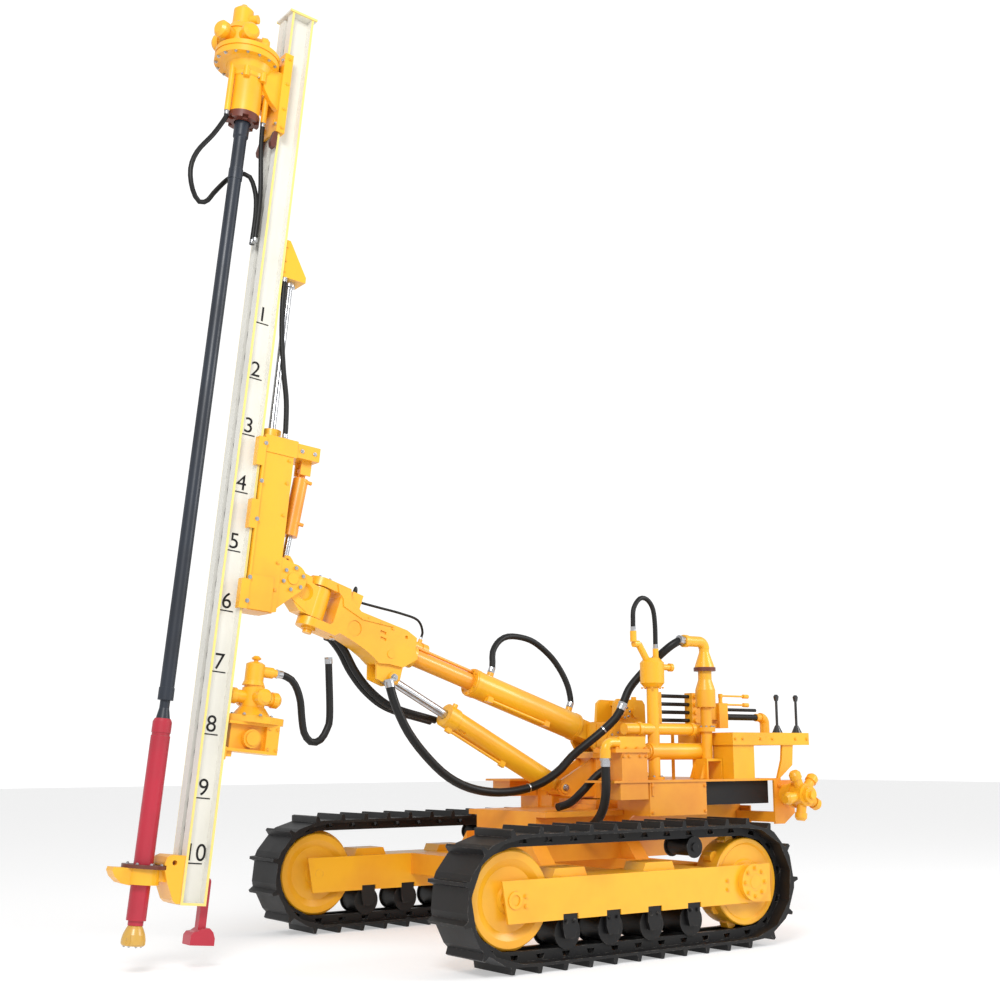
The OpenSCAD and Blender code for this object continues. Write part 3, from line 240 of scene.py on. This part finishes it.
# Paints: colour, deeper shade, worn edge, and where it differs roughness, coat and shine
PAINTS = {
    "yellow_paint": ((0.90, 0.45, 0.014), (0.83, 0.37, 0.010), (0.60, 0.28, 0.05)),
    # orange_paint stands for the yellow paint in shade: a darker, redder copy of it, painted on parts
    # that lie in shadow, such as the turret's lower column and several brackets, so it is painted shade.
    "orange_paint": ((0.87, 0.36, 0.02), (0.77, 0.27, 0.014), (0.52, 0.20, 0.04)),
    # brown_paint stands for the orange paint in deep shade: a dark brown painted on faces that lie in
    # shadow, so it is painted shade.
    "brown_paint": ((0.135, 0.028, 0.014), (0.095, 0.020, 0.010), (0.20, 0.10, 0.07), 0.42, 0.2),
    "crimson_paint": ((0.46, 0.012, 0.035), (0.38, 0.01, 0.028), (0.30, 0.10, 0.09)),
    "black_paint": ((0.007, 0.007, 0.008), (0.014, 0.013, 0.012), (0.07, 0.06, 0.055), 0.45, 0.0, 0.3),
    "track_black": ((0.006, 0.006, 0.007), (0.013, 0.012, 0.011), (0.12, 0.11, 0.10), 0.42, 0.0, 0.32),
    "rod_slate": ((0.020, 0.026, 0.038), (0.012, 0.015, 0.022), (0.10, 0.11, 0.12), 0.36, 0.1, 0.4),
    "bit_ochre": ((0.62, 0.36, 0.06), (0.52, 0.29, 0.05), (0.40, 0.30, 0.18)),
    "hose_rubber": ((0.005, 0.005, 0.005), (0.010, 0.010, 0.009), (0.03, 0.03, 0.03), 0.42, 0.0, 0.35),
    "knob_black": ((0.012, 0.012, 0.013), (0.020, 0.020, 0.020), (0.06, 0.06, 0.06), 0.25, 0.5),
}
SLOTS = {slot: paint(slot, *row) for slot, row in PAINTS.items()}
SLOTS["bright_steel"] = metal("bright_steel", (0.62, 0.63, 0.65), (0.42, 0.43, 0.45), 0.18)
SLOTS["white_paint"] = mast_paint("mast_white")


def dress(piece, slot):
    piece.data.materials.clear()
    piece.data.materials.append(SLOTS[slot])


def dress_nodes():
    """Each carried-over node gets the finish of its slot in the record."""
    for part in frame["record"]["subparts"]:
        dress(frame["nodes"][part["node"]], part["material_slot"])


# Places in metres, from millimetres in part.scad's own frames
def at(x, y, z):
    return Vector((IDLER_X + x / 1000, y / 1000, z / 1000))


def tilted(angle, u, y, v):
    c, s = math.cos(angle), math.sin(angle)
    return Vector((u * c - v * s, y, u * s + v * c))


def along_mast(x, y, z):
    return tilted(MAST_LEAN, x, y, z)


def on_mast(x, y, z):
    return MAST_FOOT + along_mast(x, y, z) / 1000


def along_boom(u, y, v):
    return tilted(BOOM_ANGLE, u, y, v)


def on_boom(u, y, v):
    return BOOM_PIN + along_boom(u, y, v) / 1000


# Small solids are gathered into one piece for each body and finish
gathered = {}


def solid(body, slot, place, axis, radius, depth, sides):
    """A cylinder that starts at place and runs along axis."""
    work = gathered.setdefault((body, slot), bmesh.new())
    axis = Vector(axis).normalized()
    turned = axis.to_track_quat("Z", "Y").to_matrix().to_4x4()
    bmesh.ops.create_cone(
        work, cap_ends=True, segments=sides, radius1=radius, radius2=radius, depth=depth,
        matrix=Matrix.Translation(Vector(place) + axis * depth / 2) @ turned)


def flat_bar(body, slot, to_world, low, high):
    """A box between two corners of a frame."""
    work = gathered.setdefault((body, slot), bmesh.new())
    corners = [work.verts.new(to_world(x, y, z))
               for x in (low[0], high[0]) for y in (low[1], high[1]) for z in (low[2], high[2])]
    faces = ((0, 1, 3, 2), (4, 6, 7, 5), (0, 4, 5, 1), (2, 3, 7, 6), (0, 2, 6, 4), (1, 5, 7, 3))
    for face in faces:
        work.faces.new([corners[i] for i in face])
    work.normal_update()


WASHER_TOP = 0.002
WASHER_THICK = 0.003


def bolt(body, place, axis, size, slot="bright_steel"):
    """Washer, hexagon head and the end of the thread; size is the head's radius."""
    axis = Vector(axis).normalized()
    place = Vector(place)
    head = size * 0.75
    solid(body, slot, place + axis * (WASHER_TOP - WASHER_THICK), axis, size * 1.25, WASHER_THICK, 20)
    solid(body, slot, place + axis * WASHER_TOP, axis, size, head, 6)
    solid(body, slot, place + axis * (WASHER_TOP + head), axis, size * 0.45, size * 0.25, 12)


def bolt_ring(body, centre, axis, radius, count, size, slot="bright_steel"):
    axis = Vector(axis).normalized()
    side = axis.orthogonal().normalized()
    up = axis.cross(side)
    for i in range(count):
        angle = 2 * math.pi * i / count
        spot = Vector(centre) + (side * math.cos(angle) + up * math.sin(angle)) * radius
        bolt(body, spot, axis, size, slot)


def finish_gathered():
    for (body, slot), work in gathered.items():
        mesh = bpy.data.meshes.new(f"{body}_{slot}_fittings")
        work.to_mesh(mesh)
        work.free()
        piece = bpy.data.objects.new(mesh.name, mesh)
        bpy.context.scene.collection.objects.link(piece)
        dress(piece, slot)
        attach(piece, body)


# Hoses
SPAN_STEPS = 20
HOSE_STEPS = 30
LONG_HOSE_STEPS = 40
SHORT_HOSE_STEPS = 20


def smooth_route(points, steps):
    """A Catmull-Rom line through the points, resampled evenly."""
    ends = [points[0] * 2 - points[1]] + points + [points[-1] * 2 - points[-2]]
    fine = []
    for i in range(1, len(ends) - 2):
        a, b, c, d = ends[i - 1:i + 3]
        for k in range(SPAN_STEPS):
            t = k / SPAN_STEPS
            fine.append(0.5 * ((2 * b) + (c - a) * t + (2 * a - 5 * b + 4 * c - d) * t * t
                               + (3 * b - a - 3 * c + d) * t * t * t))
    fine.append(points[-1].copy())
    lengths = [0.0]
    for first, second in zip(fine, fine[1:]):
        lengths.append(lengths[-1] + (second - first).length)
    even, j = [], 0
    for i in range(steps + 1):
        want = lengths[-1] * i / steps
        while j < len(fine) - 2 and lengths[j + 1] < want:
            j += 1
        part = (want - lengths[j]) / max(lengths[j + 1] - lengths[j], 1e-9)
        even.append(fine[j].lerp(fine[j + 1], min(max(part, 0), 1)))
    return even


def hose_curve(name, line, radius):
    data = bpy.data.curves.new(name, "CURVE")
    data.dimensions = "3D"
    spline = data.splines.new("POLY")
    spline.points.add(len(line) - 1)
    for point, place in zip(spline.points, line):
        point.co = (*place, 1)
    spline.use_smooth = True
    data.bevel_depth = radius
    data.bevel_resolution = 5
    data.use_fill_caps = True
    piece = bpy.data.objects.new(name, data)
    bpy.context.scene.collection.objects.link(piece)
    return piece


def as_mesh(piece):
    bpy.ops.object.select_all(action="DESELECT")
    bpy.context.view_layer.objects.active = piece
    piece.select_set(True)
    bpy.ops.object.convert(target="MESH")
    return bpy.context.object


def ferrule(body, place, axis, radius):
    """Crimped steel sleeve with a hexagon nut behind it; axis points into the hose."""
    axis = Vector(axis).normalized()
    nut = radius * 0.5
    solid(body, "bright_steel", place, axis, radius * 1.26, nut, 6)
    solid(body, "bright_steel", place + axis * nut, axis, radius * 1.09, radius * 1.3, 24)


def hose(name, to_world, route, radius, body, nodes=(), ferrules=(True, True), clips=(), steps=HOSE_STEPS,
         other=None, bend=None):
    """A hose along a route; with other, it is turned into a mesh fixed in world place and its far ferrule
    goes on that body; the two places of bend are worked out but nothing uses them.
    """
    line = smooth_route([to_world(*p) for p in route], steps)
    piece = hose_curve(name, line, radius)
    dress(piece, "hose_rubber")
    if other:
        piece = as_mesh(piece)
        start, end = (tuple(to_world(*p)) for p in bend)
        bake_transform(piece)
    else:
        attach(piece, body)
    if nodes:
        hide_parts(*nodes)
    if ferrules[0]:
        ferrule(body, line[0], line[1] - line[0], radius)
    if ferrules[1]:
        ferrule(other or body, line[-1], line[-2] - line[-1], radius)
    for share in clips:
        i = int(share * steps)
        axis = (line[i + 1] - line[i]).normalized()
        solid(body, "bright_steel", line[i] - axis * 0.004, axis, radius * 1.07, 0.008, 24)


# The routes repeat those of the cords' solids
DOWN_ROUTE = (
    (-975, 570, 975), (-975, 570, 900), (-975, 570, 810), (-977, 545, 715), (-982, 480, 640),
    (-988, 385, 592), (-990, 330, 590), (-990, 280, 590))
PIPE_ROUTE = (
    (-1345, 400, 1695), (-1345, 400, 1740), (-1352, 400, 1825), (-1400, 400, 1885), (-1455, 400, 1885),
    (-1500, 400, 1835), (-1515, 400, 1740), (-1515, 400, 1600))
REAR_AIR_ROUTE = (
    (-1690, 450, 1650), (-1662, 450, 1650), (-1610, 420, 1615), (-1555, 340, 1535), (-1490, 280, 1445),
    (-1430, 258, 1370), (-1390, 250, 1290))
REAR_AIR_BEND = ((-1640, 440, 1640), (-1400, 255, 1310))
AIR_ROUTE = (
    (-1390, 250, 1290), (-1352, 238, 1215), (-1290, 205, 1145), (-1200, 160, 1065), (-1104, 128, 989),
    (-1000, 122, 900), (-860, 116, 830), (-700, 111, 797), (-540, 107, 795), (-380, 106, 826),
    (-240, 105, 893), (-110, 105, 1000), (-10, 105, 1110), (50, 98, 1215), (85, 86, 1310),
    (100, 74, 1390))
AIR_BEND = ((-500, 106, 800), (0, 105, 1120))
LOOP_ROUTE = (
    (885, -45, 110), (885, -45, 150), (893, -68, 240), (853, -83, 325), (780, -85, 375), (640, -85, 400),
    (500, -85, 370), (400, -78, 315), (325, -60, 235), (285, -45, 150), (285, -45, 110))
UNDER_ROUTE = (
    (1900, -105, -40), (1870, -105, -40), (1790, -105, -85), (1690, -105, -168), (1560, -105, -238),
    (1400, -105, -272), (1122, -105, -250))
FEED_ROUTE = (
    (-365, 0, 1151), (-395, 0, 1151), (-465, 0, 1125), (-515, 0, 1045), (-540, 0, 940), (-563, 0, 870),
    (-606, 0, 832), (-655, 0, 845), (-688, 0, 900), (-698, 0, 980), (-655, 0, 1275))
HEAD_ROUTE = (
    (308, 20, 4060), (308, 20, 4025), (365, 26, 3900), (440, 28, 3770), (463, 26, 3667), (440, 20, 3570),
    (390, 5, 3512), (335, -18, 3540), (280, -58, 3630), (195, -82, 3750), (115, -50, 3780),
    (75, -15, 3680), (60, -8, 3560), (60, -8, 3380))
SECOND_HEAD_ROUTE = (
    (100, 30, 4060), (100, 30, 4020), (95, 30, 3930), (80, 30, 3800), (66, 28, 3690), (60, 28, 3580),
    (60, 28, 3380))
# Hoses that part.scad leaves to this script
MAST_ROUTE = (
    (-225, 72, 2352), (-223, 72, 2420), (-208, 72, 2560), (-172, 70, 2720), (-142, 66, 2900),
    (-128, 58, 3080), (-128, 46, 3230))
MAST_BEND = ((-223, 72, 2420), (-128, 50, 3190))
FRAME_ROUTE = (
    (-1180, 436, 935), (-1165, 400, 930), (-1110, 345, 885), (-1020, 315, 795), (-930, 318, 735),
    (-840, 320, 712))
SECOND_UNDER_ROUTE = tuple((u, y - 46, v - 6) for u, y, v in UNDER_ROUTE)
NEAR_PORT_ROUTE = (
    (1320, -165, 156), (1326, -160, 205), (1400, -120, 240), (1540, -70, 220), (1700, -40, 190),
    (1810, -30, 172), (1850, -30, 170))
FAR_PORT_ROUTE = (
    (1790, -165, 156), (1792, -160, 205), (1825, -110, 248), (1865, -50, 240), (1882, -22, 190))


def make_hoses():
    hose("down_hose_line", at, DOWN_ROUTE, 0.025, "chassis", ["down_hose"])
    hose("pipe_hose_line", at, PIPE_ROUTE, 0.014, "chassis", ["pipe_hose"])
    hose("air_hose_rear_line", at, REAR_AIR_ROUTE, 0.024, "chassis", ["air_hose_rear"],
         ferrules=(True, False), other="turret", bend=REAR_AIR_BEND)
    hose("air_hose_line", at, AIR_ROUTE, 0.024, "turret", ["air_hose"], clips=(0.12, 0.40),
         steps=LONG_HOSE_STEPS, other="boom_outer", bend=AIR_BEND)
    hose("loop_hose_line", on_boom, LOOP_ROUTE, 0.018, "boom_outer", ["loop_hose"])
    hose("under_hose_line", on_boom, UNDER_ROUTE, 0.020, "boom_inner", ["under_hose"],
         ferrules=(True, False))
    hose("feed_hose_line", on_mast, FEED_ROUTE, 0.019, "mast", ["feed_hose"])
    hose("head_hose_line", on_mast, HEAD_ROUTE, 0.013, "carriage", ["head_hoses"], steps=LONG_HOSE_STEPS)
    hose("head_hose_2_line", on_mast, SECOND_HEAD_ROUTE, 0.013, "carriage")
    hose("mast_hose_line", on_mast, MAST_ROUTE, 0.014, "slide_frame", other="mast", bend=MAST_BEND)
    hose("frame_hose_line", at, FRAME_ROUTE, 0.022, "chassis", ferrules=(False, False),
         steps=SHORT_HOSE_STEPS)
    hose("under_hose_2_line", on_boom, SECOND_UNDER_ROUTE, 0.020, "boom_inner", ferrules=(False, False))
    hose("swing_hose_line", on_boom, NEAR_PORT_ROUTE, 0.007, "boom_inner")
    hose("swing_hose_2_line", on_boom, FAR_PORT_ROUTE, 0.007, "boom_inner")


# Depth marks down the mast's left web, one foot apart, with an underline to each number
MARKS = 10
FIRST_MARK = 2953
MARK_STEP = 305.5
MARK_SIZE = 0.115
MARK_THICK = 0.0006
MARK_X = -35
MARK_LIFT = 10
WEB_Y = 28
UNDERLINE_X = (-75, 5)
UNDERLINE_DEPTH = 6
UNDERLINE_THICK = 1.4


def make_marks():
    turned = Matrix((along_mast(-1, 0, 0), along_mast(0, 0, 1), Vector((0, 1, 0)))).transposed().to_4x4()
    for number in range(1, MARKS + 1):
        level = FIRST_MARK - MARK_STEP * (number - 1)
        bpy.ops.object.select_all(action="DESELECT")
        bpy.ops.object.text_add(location=(0, 0, 0))
        piece = bpy.context.object
        piece.data.body = str(number)
        piece.data.size = MARK_SIZE
        piece.data.extrude = MARK_THICK
        piece.data.align_x = "CENTER"
        bpy.ops.object.convert(target="MESH")
        place = on_mast(MARK_X, WEB_Y + MARK_THICK * 1000, level + MARK_LIFT)
        piece.data.transform(Matrix.Translation(place) @ turned)
        piece.name = f"mark_{number}"
        dress(piece, "black_paint")
        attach(piece, "mast")
        flat_bar("mast", "black_paint", on_mast, (UNDERLINE_X[0], WEB_Y, level - UNDERLINE_DEPTH),
                 (UNDERLINE_X[1], WEB_Y + UNDERLINE_THICK, level))


# Bolts; the places are on the faces of the CAD solids
LEFT = Vector((0, 1, 0))
UP = Vector((0, 0, 1))
UP_THE_MAST = along_mast(0, 0, 1)


def track_bolts():
    for side in (1, -1):
        out = LEFT * side
        hub = at(-WHEELBASE, side * 1086, WHEEL_Z)
        bolt_ring("chassis", at(0, side * 1022, WHEEL_Z), out, 0.044, 6, 0.008, "yellow_paint")
        bolt_ring("chassis", hub, out, 0.072, 8, 0.010, "yellow_paint")
        solid("chassis", "yellow_paint", hub, out, 0.034, 0.0015, 32)
        for x in (-330, -600, -870, -1140):
            for dx in (-24, 24):
                bolt("chassis", at(x + dx, side * 1051, 214), out, 0.009, "track_black")
        for x in (-60, -1380):
            for z in (300, 345):
                bolt("chassis", at(x, side * 1057, z), out, 0.009, "yellow_paint")
        # The bolts of these two loops take orange_paint, the painted shade of the yellow paint.
        for x in (-1690, -1290):
            for z in (680, 820):
                bolt("chassis", at(x, side * 592, z), out, 0.008, "orange_paint")
        for x in (-2400, -2290):
            bolt("chassis", at(x, side * 600, 810), out, 0.010, "orange_paint")


def deck_bolts():
    # The bolts of the first two loops take orange_paint, the painted shade of the yellow paint.
    for x in (-1245, -1185, -1110, -1035):
        for y in (432, 598):
            bolt("chassis", at(x, y, 1025), UP, 0.009, "orange_paint")
    for x in (-1245, -1200, -1120, -1080):
        bolt("chassis", at(x, 598, 985), LEFT, 0.008, "orange_paint")
    for x in (-2540, -2440, -2240, -2140, -1990, -1930):
        bolt("chassis", at(x, 610, 1084), LEFT, 0.008, "yellow_paint")
    bolt_ring("chassis", at(-1857, 450, 1151), UP, 0.043, 8, 0.007)
    bolt_ring("chassis", at(-1484, 400, 868), UP, 0.047, 6, 0.007)
    bolt_ring("chassis", at(-1484, 400, 1376), -UP, 0.060, 8, 0.006, "yellow_paint")
    bolt_ring("chassis", at(-1857, 450, 1268), -UP, 0.046, 8, 0.006, "yellow_paint")


def boom_bolts():
    bolt_ring("turret", at(-1460, 97, 1077), LEFT, 0.048, 6, 0.008)
    bolt_ring("turret", at(-1530, 110, 1240), LEFT, 0.030, 6, 0.006)
    # These bolts take orange_paint, the painted shade of the yellow paint.
    for x, z in ((-1300, 1011), (-1500, 1011), (-1640, 1012)):
        bolt("turret", at(x, 96, z), UP, 0.010, "orange_paint")
    bolt_ring("boom_outer", on_boom(1036, 0, 0), along_boom(1, 0, 0), 0.066, 10, 0.006, "yellow_paint")
    bolt_ring("boom_inner", on_boom(2085, 0, 188), along_boom(0, 0, 1), 0.055, 6, 0.008)
    bolt("boom_inner", on_boom(1545, 65, -160), LEFT, 0.016)
    bolt("turret", on_boom(0, 105, 0), LEFT, 0.022)
    bolt("turret", at(-1090, 81, 810), LEFT, 0.016)
    for u in (1640, 1720, 1800):
        bolt("boom_inner", on_boom(u, 70, 82), LEFT, 0.007, "yellow_paint")


def slide_frame_bolts():
    for z in (1480, 1600, 1900, 2100, 2300):
        bolt("slide_frame", on_mast(-112, 98, z), LEFT, 0.009)
    for z in (1560, 1700, 1950, 2120, 2240):
        bolt("slide_frame", on_mast(-262, 82, z), LEFT, 0.008, "yellow_paint")
    bolt_ring("slide_frame", on_mast(-360, 85, 1635), LEFT, 0.058, 6, 0.008)
    bolt_ring("slide_frame", on_mast(-180, 0, 2352), UP_THE_MAST, 0.066, 6, 0.008)
    for x in (-405, -330):
        bolt("slide_frame", on_mast(x, 80, 2308), LEFT, 0.009)


def head_bolts():
    bolt_ring("carriage", on_mast(225, 0, 4362), -UP_THE_MAST, 0.162, 16, 0.008)
    bolt_ring("carriage", on_mast(205, 0, 4276), UP_THE_MAST, 0.088, 6, 0.005)
    bolt_ring("carriage", on_mast(280, 0, 4580), UP_THE_MAST, 0.052, 6, 0.006)
    for z in (4060, 4440):
        for y in (-80, 80):
            bolt("carriage", on_mast(50, y, z), along_mast(1, 0, 0), 0.009)
    for z in (4040, 4150, 4300, 4450):
        bolt("carriage", on_mast(20, 98, z), LEFT, 0.008, "yellow_paint")


def mast_bolts():
    bolt_ring("mast", on_mast(-255, 0, 924), UP_THE_MAST, 0.105, 8, 0.008)
    for x in (-375, -330):
        for z in (766, 868):
            bolt("mast", on_mast(x, 70, z), LEFT, 0.007, "yellow_paint")
    bolt_ring("mast", on_mast(199, 0, 182), UP_THE_MAST, 0.085, 8, 0.007)
    for z in (3260, 3320, 3400):
        bolt("mast", on_mast(-110.2, 62, z), LEFT, 0.007, "yellow_paint")
    bolt_ring("drill_string", on_mast(205, 0, -182), -UP_THE_MAST, 0.042, 8, 0.0055)


def make_floor():
    bpy.ops.object.select_all(action="DESELECT")
    bpy.ops.mesh.primitive_plane_add(size=FLOOR_SIZE, location=(0, 0, -0.001))
    floor = bpy.context.object
    floor.name = "floor"
    material, nodes, links, shader = new_material("pale_floor")
    shader.inputs["Base Color"].default_value = (FLOOR_GREY, FLOOR_GREY, FLOOR_GREY, 1)
    shader.inputs["Roughness"].default_value = 0.9
    shader.inputs["Emission Color"].default_value = (1, 1, 1, 1)
    shader.inputs["Emission Strength"].default_value = FLOOR_GLOW
    floor.data.materials.append(material)


def make_sky():
    """White where the camera sees it, and softer where it lights the rig."""
    world = bpy.data.worlds.new("studio")
    world.use_nodes = True
    nodes, links = world.node_tree.nodes, world.node_tree.links
    soft = nodes["Background"]
    soft.inputs["Color"].default_value = (1, 1, 1, 1)
    soft.inputs["Strength"].default_value = SKY_LIGHT
    seen = nodes.new("ShaderNodeBackground")
    seen.inputs["Color"].default_value = (1, 1, 1, 1)
    seen.inputs["Strength"].default_value = SKY_SEEN
    path = nodes.new("ShaderNodeLightPath")
    choose = nodes.new("ShaderNodeMixShader")
    links.new(path.outputs["Is Camera Ray"], choose.inputs["Fac"])
    links.new(soft.outputs["Background"], choose.inputs[1])
    links.new(seen.outputs["Background"], choose.inputs[2])
    links.new(choose.outputs["Shader"], nodes["World Output"].inputs["Surface"])
    bpy.context.scene.world = world
    bpy.context.scene.view_settings.view_transform = "Standard"


make_camera()
make_hoses()
make_floor()
make_sky()
for lamp in LAMPS:
    make_lamp(*lamp)
dress_nodes()
make_marks()
track_bolts()
deck_bolts()
boom_bolts()
slide_frame_bolts()
head_bolts()
mast_bolts()
finish_gathered()
